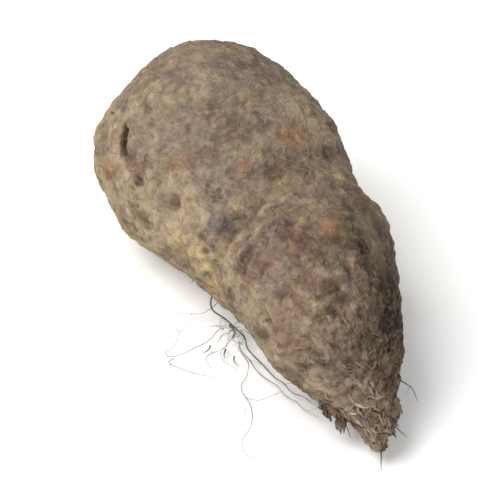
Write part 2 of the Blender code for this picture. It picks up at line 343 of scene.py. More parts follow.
def add_node(tree, kind, *values, stops=(), **named):
    """Adds a node. Plain values fill its inputs in order, _2 the input at place 2, Name the one named so.

    Lower-case names set its properties. Stops are the levels and hex colours of a colour ramp.
    """
    node = tree.nodes.new(kind)
    inputs = dict(enumerate(values))
    for name, value in named.items():
        if name[0] == "_":
            inputs[int(name[1:])] = value
        elif name[0].isupper():
            inputs[name.replace("_", " ")] = value
        else:
            setattr(node, name, value)
    fill_inputs(node, inputs)
    for place, (level, colour) in enumerate(stops):
        elements = node.color_ramp.elements
        stop = elements[place] if place < len(elements) else elements.new(level)
        stop.position, stop.color = level, linear(colour)
    return node


def new_tree(name, sizes):
    """A geometry tree with a mesh going in and out, and the outputs that hold its named sizes."""
    tree = bpy.data.node_groups.new(name, "GeometryNodeTree")
    tree.interface.new_socket("Geometry", in_out="INPUT", socket_type="NodeSocketGeometry")
    tree.interface.new_socket("Geometry", in_out="OUTPUT", socket_type="NodeSocketGeometry")
    for kind, labels in sizes.items():
        for label in labels:
            tree.interface.new_socket(label, in_out="INPUT", socket_type="NodeSocket" + kind)
    return tree, add_node(tree, "NodeGroupInput").outputs


def end_tree(tree, size, made):
    """Ends a geometry tree: what it made gets its finish and is sent out."""
    made = add_node(tree, "GeometryNodeSetMaterial", made, Material=size["Finish"])
    add_node(tree, "NodeGroupOutput", made)
    return tree


def bake_tree(piece, tree, values):
    """Runs a geometry tree on a piece with these input values, and returns the plain mesh it makes."""
    modifier = piece.modifiers.new(tree.name, "NODES")
    modifier.node_group = tree
    for socket in tree.interface.items_tree:
        if socket.in_out == "INPUT" and socket.name in values:
            modifier[socket.identifier] = values[socket.name]
    made = bpy.data.meshes.new_from_object(piece.evaluated_get(bpy.context.evaluated_depsgraph_get()))
    made.name = piece.name
    piece.modifiers.clear()
    return made


def sphere_tree():
    """A plain sphere of radius 1 with its poles on Z, for the skin to be drawn out from."""
    tree, size = new_tree("sphere", {"Int": ("Rings", "Sides")})
    sphere = add_node(tree, "GeometryNodeMeshUVSphere", Segments=size["Sides"], Rings=size["Rings"],
                      Radius=1.0)
    add_node(tree, "NodeGroupOutput", sphere)
    return tree


tuber_skin = add_object("tuber_skin", bpy.data.meshes.new("tuber_skin"))
skin_mesh = bake_tree(tuber_skin, sphere_tree(), {"Rings": SKIN_RINGS, "Sides": SKIN_SIDES})
unit_points = np.empty(len(skin_mesh.vertices) * 3)
skin_mesh.vertices.foreach_get("co", unit_points)
ray_starts, ray_directions = rays_from_line(unit_points.reshape(-1, 3))
swept_reach, overlap = swept_form(ray_starts, ray_directions)
swept_points = ray_starts + ray_directions * swept_reach[:, None]
slit = slit_share(swept_points)
bud, bud_furrow = bud_relief(swept_points)
relief = broad_relief(swept_points, overlap) - SLIT_DEPTH * slit + bud - bud_furrow
relief = np.maximum(relief, -DEEPEST_SHARE * swept_reach)
skin_points = swept_points + ray_directions * relief[:, None]
skin_points[:, 2] = np.maximum(skin_points[:, 2], 0)
skin_mesh.vertices.foreach_set("co", (skin_points * MM).ravel())

# The rays run round the other way from the sphere's points, so its faces are turned to point outwards.
outward = bmesh.new()
outward.from_mesh(skin_mesh)
bmesh.ops.reverse_faces(outward, faces=outward.faces)
outward.to_mesh(skin_mesh)
outward.free()
tuber_skin.data = skin_mesh

# Painted shade: how much darker the skin's colour is painted in its hollows: the crease, which is faint low
# down and on its soft side, the slit and the bud's furrow. The second swelling has a colour of its own, from
# where it reaches further.
CREASE_SHADE, SLIT_SHADE, FURROW_SHADE = 0.30, 2.3, 0.2
CREASE_SHADE_WIDTH = 0.5
SOFT_SHADE_LOST, LOW_SHADE_LEFT = 0.8, 0.2
CREASE_FADES_BELOW, CREASE_FULL_ABOVE = 12.5, 16.0
SECOND_FROM, SECOND_TO = 0.6, -0.6
painted_hollow_shade = np.exp(-(overlap / CREASE_SHADE_WIDTH)**2) * (1 - SOFT_SHADE_LOST * softness(swept_points))
height_share = smoothstep(CREASE_FADES_BELOW, CREASE_FULL_ABOVE, swept_points[:, 2])
painted_hollow_shade *= LOW_SHADE_LEFT + (1 - LOW_SHADE_LEFT) * height_share
painted_hollow_shade = CREASE_SHADE * painted_hollow_shade + SLIT_SHADE * slit + FURROW_SHADE * bud_furrow / BUD_FURROW
on_second = smoothstep(SECOND_FROM, SECOND_TO, overlap)

# Marks of growth and bruising that the photograph shows, and among them painted shade and painted light
# where a group's comment says so. The real marks lie in the peel, and all are a tint of the skin. Under each
# colour's name, a mark is its pixel there, its radius in millimetres and its strength. Its edge is ragged,
# and fades between two shares of its radius.
MARKS = {
    # Partly painted light: the marks at the right edge are painted paler where the lamp leaves that edge in
    # shade.
    "pale cork and painted light": ("#b8a386", (
        (134, 215, 4.0, 0.45), (147, 227, 3.0, 0.5), (76, 275, 3.2, 0.75), (112, 262, 1.8, 0.35),
        (123, 332, 2.2, 0.5), (87, 267, 2.0, 0.5), (118, 265, 0.9, 0.5), (123, 260, 0.9, 0.4),
        (107, 277, 1.0, 0.5), (100, 286, 1.5, 0.95), (140, 320, 3.2, 0.25), (102, 279, 1.0, 0.8),
        (150, 264, 2.2, 0.3), (172, 361, 0.8, 0.5), (131, 334, 2.2, 0.4), (143, 346, 2.0, 0.4),
        (155, 358, 2.0, 0.45), (84, 286, 1.6, 0.5), (171, 275, 2.6, 0.30), (175, 287, 2.2, 0.25),
        (115, 311, 1.8, 0.5),
    )),
    "mauve-grey cork": ("#7b6b68", (
        (92, 214, 5.0, 0.10), (70, 225, 4.5, 0.28), (82, 238, 3.5, 0.36), (112, 248, 2.4, 0.42),
        (118, 203, 2.6, 0.20), (66, 254, 3.4, 0.30), (72, 263, 2.0, 0.25), (124, 300, 2.2, 0.5),
        (56, 226, 2.6, 0.35), (55, 209, 3.0, 0.40), (44, 243, 1.6, 0.30), (150, 252, 2.6, 0.30),
        (91, 252, 1.6, 0.5), (76, 200, 2.2, 0.40), (152, 340, 3.0, 0.35), (165, 268, 1.4, 0.30),
    )),
    "dark mauve bruise": ("#5b4c49", (
        (127, 306, 1.0, 0.85), (166, 326, 1.6, 0.5), (94, 246, 0.9, 0.5),
    )),
    "yellow young cork": ("#bfa372", (
        (78, 282, 2.4, 0.45), (88, 288, 2.2, 0.45), (96, 300, 1.6, 0.8), (157, 249, 1.2, 0.6),
        (77, 242, 1.4, 0.35),
    )),
    "bright yellow cork": ("#e3c78f", (
        (92, 293, 0.8, 0.45), (99, 286, 1.1, 0.40), (95, 299, 1.0, 0.25),
    )),
    "red-brown bruise": ("#472a24", (
        (109, 291, 1.5, 0.80), (151, 301, 0.9, 0.3),
    )),
    # Partly painted shade: the hollow at the waist is painted a darker brown.
    "brown hollow with painted shade": ("#6e4f33", (
        (77, 262, 1.0, 0.75),
    )),
    # Painted shade: the near-black mark at the far flank's edge stands in for shade. The smaller mark is dark
    # earth.
    "dark earth and painted shade": ("#20160e", (
        (180, 318, 1.7, 0.90), (151, 302, 1.1, 0.35),
    )),
    "orange crust": ("#9c7049", (
        (139, 231, 2.4, 0.45), (131, 229, 1.7, 0.45), (45, 246, 1.8, 0.55), (94, 303, 1.0, 0.5),
        (110, 246, 1.2, 0.35), (151, 271, 1.9, 0.60),
    )),
    "pink new cork": ("#8a6453", (
        (94, 282, 1.0, 0.35), (151, 271, 1.2, 0.50), (134, 282, 1.2, 0.7), (140, 297, 1.2, 0.6),
        (84, 240, 1.4, 0.5), (75, 243, 1.0, 0.5), (112, 243, 1.2, 0.5), (58, 245, 1.4, 0.5),
        (128, 318, 1.4, 0.4), (120, 290, 1.3, 0.5), (132, 330, 2.0, 0.4),
    )),
    "maroon bruise": ("#4a2430", (
        (130, 273, 1.5, 0.95), (121, 276, 1.2, 0.45), (109, 291, 1.5, 0.30), (113, 284, 0.9, 0.7),
        (139, 278, 1.3, 0.6), (116, 294, 1.6, 0.5),
    )),
    "olive-brown stain": ("#55462f", (
        (159, 277, 1.5, 0.7), (148, 280, 1.0, 0.6), (63, 268, 1.2, 0.5),
    )),
    # Painted shade: dark lines painted along the crease and round the bud's shaded right and lower edges.
    "painted crease shade": ("#5a4330", (
        (109, 268, 0.6, 0.55), (115, 264, 0.6, 0.3), (105, 272, 0.4, 0.5), (120, 261, 0.5, 0.4),
        (91, 284, 0.5, 0.45), (104, 268, 0.45, 0.6), (103, 275, 0.5, 0.6), (92, 274, 0.4, 0.45),
    )),
    # Earth in pits, and painted shade: the fold under the second swelling, the slit and the far flank are
    # painted darker where shade falls.
    "earth in hollows and painted shade": ("#443223", (
        (63, 270, 1.0, 0.4), (60, 251, 0.8, 0.95), (150, 238, 1.1, 0.85), (132, 243, 1.5, 0.6),
        (124, 247, 1.2, 0.5), (141, 246, 1.1, 0.55), (142, 274, 0.9, 0.6), (104, 306, 1.0, 0.7),
        (119, 325, 0.9, 0.75), (151, 302, 1.4, 0.95), (165, 360, 1.0, 0.6), (177, 363, 1.1, 0.5),
        (156, 308, 0.9, 0.7), (147, 307, 0.7, 0.6), (90, 277, 0.7, 0.5), (53, 239, 0.7, 0.6),
        (54, 225, 0.55, 0.8), (53, 229, 0.6, 0.9), (53, 233, 0.6, 0.9), (52, 237, 0.5, 0.7),
        (176, 299, 1.4, 0.5), (137, 340, 1.0, 0.5),
    )),
}
MARK_CORE, MARK_EDGE, MARK_RAGGED = 0.45, 1.25, 0.5
BUD_TINT_CORE, BUD_TINT_EDGE, BUD_TINT_RAGGED = 0.82, 1.02, 0.1
EDGE_SIZE = 0.9
LEAST_COVER = 0.001

surface = BVHTree.FromPolygons([v.co for v in skin_mesh.vertices], [p.vertices for p in skin_mesh.polygons])
edge_noise = noise_at(skin_points, EDGE_SIZE, (4, 7, 1))
tint = np.zeros((len(skin_points), 4))


def tint_skin(colour, cover):
    """Lays a colour over the tint of the skin's points, by how much it covers each of them."""
    tint[:, :3] = tint[:, :3] * (1 - cover[:, None]) + np.array(linear(colour)[:3]) * cover[:, None]
    tint[:, 3] = tint[:, 3] + cover * (1 - tint[:, 3])


for colour, places in MARKS.values():
    for *pixel, radius, strength in places:
        hit = surface.ray_cast(camera.location, seen_at(pixel) - camera.location)[0]
        away = np.linalg.norm(skin_points - np.array(hit) / MM, axis=1) / radius + edge_noise * MARK_RAGGED
        tint_skin(colour, strength * smoothstep(MARK_EDGE, MARK_CORE, away))
for centre, radius, _, colour, strength in reversed(BUD_LOBES):
    away = np.linalg.norm(swept_points - np.array(centre), axis=1) / radius + edge_noise * BUD_TINT_RAGGED
    tint_skin(colour, strength * smoothstep(BUD_TINT_EDGE, BUD_TINT_CORE, away))
tint[:, :3] /= np.maximum(tint[:, 3:], LEAST_COVER)
for name, share in (("crease", np.clip(painted_hollow_shade, 0, 1)), ("second", on_second), ("mark_share", tint[:, 3])):
    kept = skin_mesh.attributes.new(name, "FLOAT", "POINT")
    kept.data.foreach_set("value", share.astype(np.float32))
marks = skin_mesh.attributes.new("marks", "FLOAT_COLOR", "POINT")
marks.data.foreach_set("color", tint.astype(np.float32).ravel())

DRIFTS_PER_MM, DRIFT_BY = 0.45, 2.2


def peel_tree():
    """Fine relief of dried peel: a net of wrinkles, strands along the tuber, crusts, pits and grain.

    Sizes are in millimetres. It also keeps how hollow each point is, for the shade painted into the colour
    and for the crumbs, and how crusted it is, for the colour.
    """
    tree, size = new_tree("weathered peel", {
        "Vector": ("Wrinkle size", "Strand size"),
        "Float": ("Wrinkle depth", "Strand height", "Tail strand height", "Crust size", "Crust height",
                  "Pit spacing", "Pit depth", "Grain size", "Grain height"),
        "Material": ("Finish",)})
    place = add_node(tree, "GeometryNodeInputPosition")
    place_mm = add_node(tree, "ShaderNodeVectorMath", place, operation="SCALE", Scale=1 / MM)
    split = add_node(tree, "ShaderNodeSeparateXYZ", place_mm).outputs

    # What grew with the peel wanders by a millimetre or two, so no line of it runs straight.
    drift = add_node(tree, "ShaderNodeTexNoise", place_mm, Scale=DRIFTS_PER_MM, Detail=2.0).outputs["Color"]
    drift = add_node(tree, "ShaderNodeVectorMath", drift, operation="SCALE", Scale=DRIFT_BY)
    drifted = add_node(tree, "ShaderNodeVectorMath", place_mm, drift, operation="ADD")
    sized = {}
    for name, where in (("Wrinkle size", drifted), ("Strand size", drifted), ("Pit spacing", drifted),
                        ("Crust size", place_mm), ("Grain size", place_mm)):
        sized[name] = add_node(tree, "ShaderNodeVectorMath", where, size[name], operation="DIVIDE")

    net = add_node(tree, "ShaderNodeTexVoronoi", sized["Wrinkle size"], Scale=1.0, feature="DISTANCE_TO_EDGE")
    wrinkle = add_node(tree, "ShaderNodeMapRange", net, 0.0, 0.28, -1.0, 0.0, interpolation_type="SMOOTHSTEP")
    wrinkled = add_node(tree, "ShaderNodeTexNoise", place_mm, Scale=0.3, Detail=1.0)
    wrinkled = add_node(tree, "ShaderNodeMapRange", wrinkled, 0.35, 0.65, 0.1, 1.0)
    wrinkle = add_node(tree, "ShaderNodeMath", wrinkle, wrinkled, operation="MULTIPLY")

    strand = add_node(tree, "ShaderNodeTexNoise", sized["Strand size"], Scale=1.0, Detail=2.0)
    strand = add_node(tree, "ShaderNodeMapRange", strand, 0.3, 0.7, -1.0, 1.0)
    strand_height = add_node(tree, "ShaderNodeMapRange", split["X"], 15.0, 28.0, size["Strand height"],
                             size["Tail strand height"])

    crust = add_node(tree, "ShaderNodeTexNoise", sized["Crust size"], Scale=1.0, Detail=4.0, Roughness=0.6,
                     Distortion=0.4)
    crust = add_node(tree, "ShaderNodeMapRange", crust, 0.50, 0.60, 0.0, 1.0, interpolation_type="SMOOTHSTEP")

    pits = add_node(tree, "ShaderNodeTexVoronoi", sized["Pit spacing"], Scale=1.0)
    picked = add_node(tree, "FunctionNodeSeparateColor", pits.outputs["Color"])
    picked = add_node(tree, "ShaderNodeMapRange", picked, 0.6, 1.0, 0.0, 1.0)
    pit = add_node(tree, "ShaderNodeMapRange", pits, 0.06, 0.30, 1.0, 0.0, interpolation_type="SMOOTHSTEP")
    pit = add_node(tree, "ShaderNodeMath", pit, picked, operation="MULTIPLY")

    grain = add_node(tree, "ShaderNodeTexNoise", sized["Grain size"], Scale=1.0, Detail=3.0, Roughness=0.6)
    grain = add_node(tree, "ShaderNodeMapRange", grain, 0.25, 0.75, -1.0, 1.0)

    height = add_node(tree, "ShaderNodeMath", wrinkle, size["Wrinkle depth"], operation="MULTIPLY")
    for share, amount in ((strand, strand_height), (crust, size["Crust height"]),
                          (grain, size["Grain height"])):
        height = add_node(tree, "ShaderNodeMath", share, amount, height, operation="MULTIPLY_ADD")
    sunk = add_node(tree, "ShaderNodeMath", pit, size["Pit depth"], operation="MULTIPLY")
    height = add_node(tree, "ShaderNodeMath", height, sunk, operation="SUBTRACT")
    off_floor = add_node(tree, "ShaderNodeMapRange", split["Z"], 0.02, 1.2, 0.0, MM)
    height = add_node(tree, "ShaderNodeMath", height, off_floor, operation="MULTIPLY")
    normal = add_node(tree, "GeometryNodeInputNormal")
    offset = add_node(tree, "ShaderNodeVectorMath", normal, operation="SCALE", Scale=height)

    # How hollow each point is, from pits, wrinkle lines and the crease: the colour is painted darker there as
    # shade.
    low = add_node(tree, "ShaderNodeMath", pit, 0.55, operation="MULTIPLY")
    low = add_node(tree, "ShaderNodeMath", wrinkle, -0.35, low, operation="MULTIPLY_ADD")
    crease = add_node(tree, "GeometryNodeInputNamedAttribute", data_type="FLOAT", Name="crease")
    low = add_node(tree, "ShaderNodeMath", low, crease, operation="ADD", use_clamp=True)
    shaped = size["Geometry"]
    for name, share in (("hollow", low), ("crust", crust)):
        shaped = add_node(tree, "GeometryNodeStoreNamedAttribute", shaped, data_type="FLOAT", Name=name,
                          Value=share)
    shaped = add_node(tree, "GeometryNodeSetPosition", shaped, Offset=offset)
    shaped = add_node(tree, "GeometryNodeSetShadeSmooth", shaped)
    return end_tree(tree, size, shaped)


def lay_over(tree, colour, layers, blend="MIX"):
    """Lays each layer over the colours before it by its share, as a hex colour or what a node gives."""
    for share, over in layers:
        over = linear(over) if isinstance(over, str) else over
        colour = add_node(tree, "ShaderNodeMix", share, _6=colour, _7=over, data_type="RGBA",
                          blend_type=blend)
    return colour


def peel_colour(tree):
    """The peel's colour without its fine grain, with the place in millimetres that it is drawn at."""
    place = add_node(tree, "ShaderNodeTexCoord").outputs["Object"]
    place_mm = add_node(tree, "ShaderNodeVectorMath", place, operation="SCALE", Scale=1 / MM)
    split = add_node(tree, "ShaderNodeSeparateXYZ", place_mm).outputs
    wide = add_node(tree, "ShaderNodeTexNoise", place_mm, Scale=1 / 9, Detail=4.0)
    tones = []
    for shades in (("#75695f", "#887969", "#97856c"), ("#665245", "#7b6757", "#8c7762")):
        tones.append(add_node(tree, "ShaderNodeValToRGB", wide, stops=zip((0.36, 0.50, 0.66), shades)))
    second = add_node(tree, "ShaderNodeAttribute", attribute_name="second").outputs["Fac"]
    layers = [(second, tones[1])]

    # The flank that points to -Y is paler.
    wander = add_node(tree, "ShaderNodeTexNoise", place_mm, Scale=1 / 4, Detail=4.0)
    wander = add_node(tree, "ShaderNodeMapRange", wander, 0.3, 0.7, -2.5, 2.5)
    across = add_node(tree, "ShaderNodeMath", split["Y"], wander, operation="ADD")
    layers.append((add_node(tree, "ShaderNodeMapRange", across, -4.5, -11.0, 0.0, 0.85), "#b3a080"))

    # Blotches, as colour, size in millimetres, the noise levels between which they set in, strength
    # and where their noise is read.
    blotches = (("#6f625e", 5.0, 0.53, 0.64, 0.50, (0.0, 0.0, 0.0)),
                ("#77543f", 3.4, 0.57, 0.65, 0.55, (31.0, 2.0, 7.0)),
                ("#a8936c", 4.2, 0.56, 0.65, 0.45, (4.0, 52.0, 19.0)),
                ("#7c6c68", 1.9, 0.54, 0.62, 0.50, (9.0, 23.0, 3.0)),
                ("#ab9772", 1.6, 0.56, 0.64, 0.50, (41.0, 7.0, 17.0)),
                ("#8a6654", 1.7, 0.58, 0.66, 0.50, (3.0, 61.0, 29.0)),
                ("#54453a", 2.1, 0.59, 0.66, 0.70, (14.0, 5.0, 39.0)))
    for colour, size, low, high, strength, shift in blotches:
        shifted = add_node(tree, "ShaderNodeVectorMath", place_mm, shift, operation="ADD")
        share = add_node(tree, "ShaderNodeTexNoise", shifted, Scale=1 / size, Detail=3.0, Roughness=0.55)
        layers.append((add_node(tree, "ShaderNodeMapRange", share, low, high, 0.0, strength), colour))

    # The root end is darker, up to its pale tip.
    for colour, start, end, strength in (("#6a5b4e", 18.0, 27.0, 0.5), ("#ad9c85", 28.0, 31.5, 0.8)):
        layers.append((add_node(tree, "ShaderNodeMapRange", split["X"], start, end, 0.0, strength), colour))

    # Streaks that run along the tail, where the peel was stretched as the root drew out of it.
    on_tail = add_node(tree, "ShaderNodeMapRange", split["X"], 14.0, 24.0, 0.0, 1.0)
    for colour, width, strength, shift in (("#4d3e34", 1.15, 0.85, 5.0), ("#b09d86", 1.10, 0.70, 27.0),
                                           ("#8a6a5b", 1.40, 0.60, 43.0)):
        drawn = add_node(tree, "ShaderNodeMapping", place_mm, vector_type="TEXTURE",
                         Location=(shift, shift, shift), Scale=(6 * width, width, width))
        share = add_node(tree, "ShaderNodeTexNoise", drawn, Scale=1.0, Detail=2.0, Distortion=0.4)
        share = add_node(tree, "ShaderNodeMapRange", share, 0.52, 0.62, 0.0, strength)
        layers.append((add_node(tree, "ShaderNodeMath", share, on_tail, operation="MULTIPLY"), colour))

    # Painted shade: the +Y flank behind the waist is painted dark brown over all of that, as the shade of
    # things lying against it. It fades again towards the tip.
    across = add_node(tree, "ShaderNodeMath", split["X"], 0.15, across, operation="MULTIPLY_ADD")
    darkening = add_node(tree, "ShaderNodeMapRange", across, 2.0, 6.4, 0.0, 0.95)
    for start, end, before, after in ((9.5, 18.0, 0.0, 1.0), (22.0, 29.0, 1.0, 0.35)):
        along = add_node(tree, "ShaderNodeMapRange", split["X"], start, end, before, after)
        darkening = add_node(tree, "ShaderNodeMath", darkening, along, operation="MULTIPLY")
    layers.append((darkening, "#291e14"))

    mark_share = add_node(tree, "ShaderNodeAttribute", attribute_name="mark_share").outputs["Fac"]
    layers.append((mark_share, add_node(tree, "ShaderNodeAttribute", attribute_name="marks")))
    return lay_over(tree, tones[0], layers), place_mm


def peel_material():
    """Dry corky peel with earth rubbed into it: dull, mottled and felted with fine threads.

    It has no shine of its own, only a faint dusty bloom, and shade is painted into its colour in every crease
    and pit.
    """
    material, tree, shader = new_material("corky peel")
    colour, place_mm = peel_colour(tree)
    crust = add_node(tree, "ShaderNodeAttribute", attribute_name="crust").outputs["Fac"]
    crust = add_node(tree, "ShaderNodeMath", crust, 0.15, operation="MULTIPLY")
    colour = lay_over(tree, colour, [(crust, "#a89679")])

    # A fine mottle all over, and soft clouds that are fainter on the crown.
    close = add_node(tree, "ShaderNodeTexNoise", place_mm, Scale=1 / 1.1, Detail=5.0, Roughness=0.6)
    mottle = add_node(tree, "ShaderNodeMapRange", close, 0.3, 0.7, 0.78, 1.18)
    along = add_node(tree, "ShaderNodeSeparateXYZ", place_mm).outputs["X"]
    behind = add_node(tree, "ShaderNodeMapRange", along, -6.0, 4.0, 0.45, 1.0)
    drawn = add_node(tree, "ShaderNodeMapping", place_mm, vector_type="TEXTURE", Scale=(4.0, 1.9, 1.9))
    clouds = add_node(tree, "ShaderNodeTexNoise", drawn, Scale=1.0, Detail=2.0, Distortion=0.8)
    clouds = add_node(tree, "ShaderNodeMapRange", clouds, 0.35, 0.65, -0.15, 0.15)
    clouds = add_node(tree, "ShaderNodeMath", clouds, behind, 1.0, operation="MULTIPLY_ADD")
    colour = lay_over(tree, colour, [(1.0, mottle), (1.0, clouds)], "MULTIPLY")

    # Threads of the peel's own felt: thin lines that follow the levels of a stretched noise. Each is its
    # length and width in millimetres, its turn off the tuber's length in degrees, its colour, its
    # strength, and 1 where it stands proud or -1 where it is a gap.
    threads = ((2.6, 1.0, 30, "#b5a086", 0.19, 1.0), (2.2, 0.9, -42, "#b39f88", 0.17, 1.0),
               (3.6, 0.9, 4, "#b5a086", 0.21, 1.0), (2.6, 1.0, 14, "#4a3a30", 0.15, -1.0),
               (2.0, 1.0, -65, "#4f4037", 0.11, -1.0), (2.4, 1.1, 78, "#503f36", 0.11, -1.0))
    relief = close
    layers = []
    for length, width, turn, thread_colour, strength, proud in threads:
        laid = add_node(tree, "ShaderNodeMapping", place_mm, vector_type="TEXTURE",
                        Location=(turn * 1.3, turn * 0.7, strength * 40),
                        Rotation=(0.0, 0.0, math.radians(turn)), Scale=(length, width, width))
        level = add_node(tree, "ShaderNodeTexNoise", laid, Scale=1.0, Detail=2.0, Distortion=0.5)
        off_line = add_node(tree, "ShaderNodeMath", level, 0.5, operation="SUBTRACT")
        off_line = add_node(tree, "ShaderNodeMath", off_line, operation="ABSOLUTE")
        line = add_node(tree, "ShaderNodeMapRange", off_line, 0.012, 0.050, 1.0, 0.0,
                        interpolation_type="SMOOTHSTEP")
        broken = add_node(tree, "ShaderNodeTexNoise", laid, Scale=0.8, Detail=1.0)
        broken = add_node(tree, "ShaderNodeMapRange", broken, 0.42, 0.58, 0.0, 1.0)
        line = add_node(tree, "ShaderNodeMath", line, broken, operation="MULTIPLY")
        relief = add_node(tree, "ShaderNodeMath", line, proud * 0.5, relief, operation="MULTIPLY_ADD")
        layers.append((add_node(tree, "ShaderNodeMath", line, strength, operation="MULTIPLY"), thread_colour))

    # Earth in the pores, as ragged specks crowding behind the crown; painted shade and earth in the hollows.
    speck = add_node(tree, "ShaderNodeTexNoise", place_mm, Scale=1 / 0.9, Detail=2.0, Roughness=0.55,
                     Distortion=0.5)
    speck = add_node(tree, "ShaderNodeMapRange", speck, 0.56, 0.68, 0.0, 0.55)
    crowd = add_node(tree, "ShaderNodeTexNoise", place_mm, Scale=1 / 4.5, Detail=2.0)
    crowd = add_node(tree, "ShaderNodeMapRange", crowd, 0.40, 0.60, 0.35, 1.0)
    for share in (crowd, behind):
        speck = add_node(tree, "ShaderNodeMath", speck, share, operation="MULTIPLY")
    low = add_node(tree, "ShaderNodeAttribute", attribute_name="hollow").outputs["Fac"]
    low = add_node(tree, "ShaderNodeMath", low, 0.85, operation="MULTIPLY", use_clamp=True)
    colour = lay_over(tree, colour, layers + [(speck, "#43352a"), (low, "#37291e")])

    rough = add_node(tree, "ShaderNodeMapRange", close, 0.3, 0.7, 0.95, 0.76)
    bump = add_node(tree, "ShaderNodeBump", Height=relief, Strength=0.7, Distance=0.15 * MM)
    fill_inputs(shader, {"Base Color": colour, "Roughness": rough, "Normal": bump, "Specular IOR Level": 0.18,
                         "Sheen Weight": 0.03, "Sheen Roughness": 0.5})
    return material


tuber_skin.data = bake_tree(tuber_skin, peel_tree(), {
    "Wrinkle size": (1.7, 2.6, 2.6), "Wrinkle depth": 0.20, "Strand size": (5.0, 0.95, 0.95),
    "Strand height": 0.07, "Tail strand height": 0.34, "Crust size": 2.6, "Crust height": 0.14,
    "Pit spacing": 3.0, "Pit depth": 0.18, "Grain size": 0.8, "Grain height": 0.05,
    "Finish": peel_material()})
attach(tuber_skin, "root")
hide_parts("tuber")


# The felt on the skin: loose ends of the peel's own fibres and dried hair roots, pressed flat to it
# while it was in the ground, and papery shreds of husk at the root end. They are dead plant fibre with
# the peel's own earth on them, so they have its colours, each thread a little lighter or darker.
def fibre_tree():
    """Short threads that are dropped on a surface, pressed to it, and thinned towards their ends.

    The piece that the tree runs on is the surface. Lengths are in metres and the spread in radians.
    """
    tree, size = new_tree("pressed fibres", {
        "Float": ("Per square metre", "More from x", "Most at x", "Most", "Shortest", "Longest",
                  "Thickness", "Lift", "Tip lift", "Wander", "Wander size", "Spread", "Flatness"),
        "Int": ("Points", "Seed"),
        "Material": ("Finish",)})
    place = add_node(tree, "GeometryNodeInputPosition")
    split = add_node(tree, "ShaderNodeSeparateXYZ", place).outputs
    crowd = add_node(tree, "ShaderNodeMapRange", split["X"], size["More from x"], size["Most at x"],
                     size["Per square metre"], size["Most"])
    tufts = add_node(tree, "ShaderNodeTexNoise", place, Scale=1 / (2.6 * MM), Detail=2.0)
    tufts = add_node(tree, "ShaderNodeMapRange", tufts, 0.38, 0.62, 0.2, 1.8)
    crease = add_node(tree, "GeometryNodeInputNamedAttribute", data_type="FLOAT", Name="crease")
    bare = add_node(tree, "ShaderNodeMapRange", crease, 0.1, 0.4, 1.0, 0.0)
    for share in (tufts, bare):
        crowd = add_node(tree, "ShaderNodeMath", crowd, share, operation="MULTIPLY")
    drops = add_node(tree, "GeometryNodeDistributePointsOnFaces", size["Geometry"], Density=crowd,
                     Seed=size["Seed"])
    tone = add_node(tree, "FunctionNodeRandomValue", _2=0.0, _3=1.0, Seed=size["Seed"])
    toned = add_node(tree, "GeometryNodeStoreNamedAttribute", drops, data_type="FLOAT", Name="tone",
                     Value=tone)

    # Each drop is a straight thread at first, laid flat and turned off the tuber's length at random.
    facing = add_node(tree, "FunctionNodeAlignRotationToVector", axis="X", pivot_axis="Z",
                      Rotation=drops.outputs["Rotation"], Vector=(1.0, 0.0, 0.0))
    least_turn = add_node(tree, "ShaderNodeMath", size["Spread"], -1.0, operation="MULTIPLY")
    turn = add_node(tree, "FunctionNodeRandomValue", _2=least_turn, _3=size["Spread"], Seed=11)
    turn = add_node(tree, "FunctionNodeAxisAngleToRotation", Axis=(0.0, 0.0, 1.0), Angle=turn)
    facing = add_node(tree, "FunctionNodeRotateRotation", facing, rotation_space="LOCAL", Rotate_By=turn)
    length = add_node(tree, "FunctionNodeRandomValue", _2=size["Shortest"], _3=size["Longest"], Seed=12)
    line = add_node(tree, "GeometryNodeCurvePrimitiveLine", Start=(0.0, 0.0, 0.0), End=(1.0, 0.0, 0.0))
    line = add_node(tree, "GeometryNodeResampleCurve", line, Count=size["Points"])
    fibres = add_node(tree, "GeometryNodeInstanceOnPoints", toned, Instance=line, Rotation=facing,
                      Scale=length)
    fibres = add_node(tree, "GeometryNodeRealizeInstances", fibres)

    # It wanders sideways, each thread in its own way.
    kept_tone = add_node(tree, "GeometryNodeInputNamedAttribute", data_type="FLOAT", Name="tone")
    frequency = add_node(tree, "ShaderNodeMath", 1.0, size["Wander size"], operation="DIVIDE")
    shift = add_node(tree, "ShaderNodeMath", kept_tone, 7.0, operation="MULTIPLY")
    shifted = add_node(tree, "ShaderNodeVectorMath", place, shift, operation="ADD")
    sway = add_node(tree, "ShaderNodeTexNoise", shifted, Scale=frequency, Detail=1.0).outputs["Color"]
    sway = add_node(tree, "ShaderNodeVectorMath", sway, (0.5, 0.5, 0.5), operation="SUBTRACT")
    sway = add_node(tree, "ShaderNodeVectorMath", sway, operation="SCALE", Scale=size["Wander"])
    fibres = add_node(tree, "GeometryNodeSetPosition", fibres, Offset=sway)

    # Then it is pressed to the surface: both ends just in it, an arch between them, and a loose tip.
    nearest = add_node(tree, "GeometryNodeProximity", size["Geometry"], target_element="FACES",
                       Sample_Position=place)
    normal = add_node(tree, "GeometryNodeInputNormal")
    normal = add_node(tree, "GeometryNodeSampleNearestSurface", size["Geometry"], data_type="FLOAT_VECTOR",
                      Value=normal, Sample_Position=place)
    along = add_node(tree, "GeometryNodeSplineParameter").outputs["Factor"]
    arch = add_node(tree, "ShaderNodeMath", along, math.pi, operation="MULTIPLY")
    arch = add_node(tree, "ShaderNodeMath", arch, operation="SINE")
    rise = add_node(tree, "ShaderNodeMapRange", arch, 0.0, 1.0, -0.05 * MM, size["Lift"])
    tip = add_node(tree, "ShaderNodeMath", along, 2.0, operation="POWER")
    tip = add_node(tree, "ShaderNodeMath", tip, kept_tone, operation="MULTIPLY")
    rise = add_node(tree, "ShaderNodeMath", tip, size["Tip lift"], rise, operation="MULTIPLY_ADD")
    off_skin = add_node(tree, "ShaderNodeVectorMath", normal, operation="SCALE", Scale=rise)
    fibres = add_node(tree, "GeometryNodeSetPosition", fibres, Position=nearest, Offset=off_skin)

